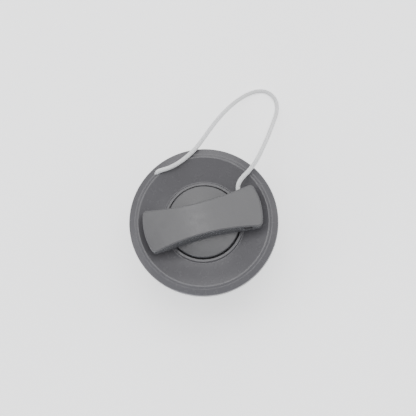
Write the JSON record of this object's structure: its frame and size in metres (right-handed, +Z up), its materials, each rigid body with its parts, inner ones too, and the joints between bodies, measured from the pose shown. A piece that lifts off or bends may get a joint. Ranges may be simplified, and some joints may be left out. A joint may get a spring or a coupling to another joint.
{
  "type": "inflatable board air valve with cap",
  "caption": "Round dished deck valve for an inflatable paddle board: bow-tie twist cap on a braided tether, sprung push-pin stem, threaded neck and back nut.",
  "frame": {"origin": "centre of the back nut's lower end, on the surface the fitting stands on", "axes": "+Z up along the valve's axis, towards the cap; X along the cap's bar; the tether's loop lies towards +X +Y"},
  "size_m": [0.0756, 0.088, 0.0382],
  "materials": {
    "plate_plastic": "fine satin moulding",
    "cap_plastic": "fine satin moulding",
    "nut_plastic": "satin moulding",
    "slip_plastic": "smooth waxy sheet",
    "stem_plastic": "satin moulding",
    "seal_rubber": "soft matt rubber",
    "spring_steel": "drawn stainless",
    "cord_braid": "fine white braid"
  },
  "bodies": {
    "root": {"valve_body": "plate_plastic", "flange_gasket": "seal_rubber", "slip_ring": "slip_plastic", "back_nut": "nut_plastic", "stem_spring": "spring_steel", "tether_rim_leg": "cord_braid", "rim_knot": "cord_braid"},
    "cap_seal": {"cap_o_ring": "seal_rubber"},
    "cap": {"cap": "cap_plastic", "tether_cap_leg": "cord_braid", "handle_knot": "cord_braid"},
    "poppet": {"poppet_disc": "stem_plastic", "poppet_seal": "seal_rubber", "stem_washer": "spring_steel"},
    "stem": {"stem": "stem_plastic", "push_button": "stem_plastic", "stem_clip": "spring_steel"}
  },
  "joints": [
    {"name": "cap_lift", "type": "slide", "parent": "root", "child": "cap_seal", "axis": [0, 0, 1], "range_m": [0, 0.035]},
    {"name": "cap_turn", "type": "hinge", "parent": "cap_seal", "child": "cap", "pos_m": [0, 0, 0.028], "axis": [0, 0, 1], "range_deg": [-45, 0]},
    {"name": "pin_push", "type": "slide", "parent": "root", "child": "poppet", "axis": [0, 0, 1], "range_m": [-0.005, 0], "stiffness_N_per_m": 450, "springref_m": 0.006, "deforming": ["stem_spring"]},
    {"name": "pin_turn", "type": "hinge", "parent": "poppet", "child": "stem", "pos_m": [0, 0, 0.014], "axis": [0, 0, 1], "range_deg": [0, 90]}
  ]
}
